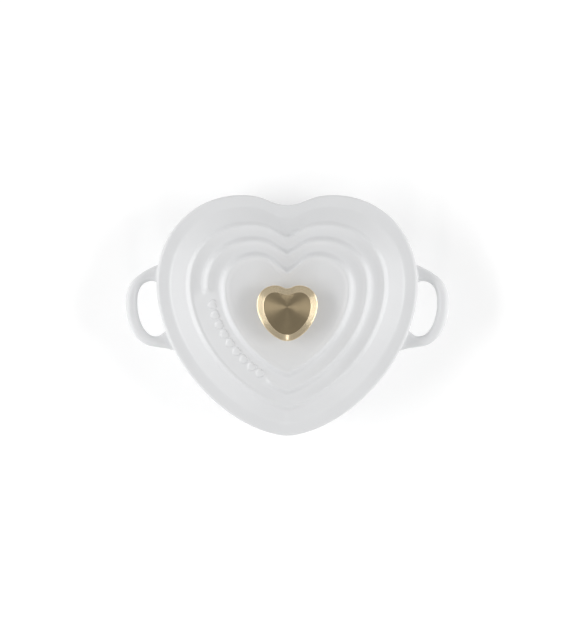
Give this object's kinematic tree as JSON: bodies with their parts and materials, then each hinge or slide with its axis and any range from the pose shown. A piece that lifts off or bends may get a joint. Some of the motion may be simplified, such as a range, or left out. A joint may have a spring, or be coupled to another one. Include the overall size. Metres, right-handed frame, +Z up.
{
  "type": "heart-shaped casserole with lid",
  "caption": "Heart-shaped enamelled cast-iron casserole with side loop handles and a lift-off lid stepped in raised heart rings under a heart-shaped metal knob.",
  "frame": {"origin": "on the table, under the middle of the heart's bounding box", "axes": "+Z up through the lid's knob, +Y from the heart's tip towards its two lobes, +X towards the right handle seen from above with the tip towards the viewer"},
  "size_m": [0.27, 0.1988, 0.125],
  "materials": {
    "enamel": "satin white enamel over cast iron",
    "knob_metal": "champagne gold, brushed",
    "insert_brass": "turned",
    "seat_rubber": "matte silicone",
    "fastener_steel": "plain stainless"
  },
  "bodies": {
    "pot": {"pot_body": "enamel", "left_handle": "enamel", "right_handle": "enamel"},
    "lid": {"lid": "enamel", "knob_head": "knob_metal", "knob_stem": "knob_metal", "knob_thread_insert": "insert_brass", "knob_seat_washer": "seat_rubber", "knob_screw": "fastener_steel", "screw_flat_washer": "fastener_steel", "screw_lock_washer": "fastener_steel"}
  },
  "joints": [
    {"name": "lid_lift", "type": "slide", "parent": "pot", "child": "lid", "axis": [0, 0, 1], "range_m": [0, 0.12]}
  ]
}
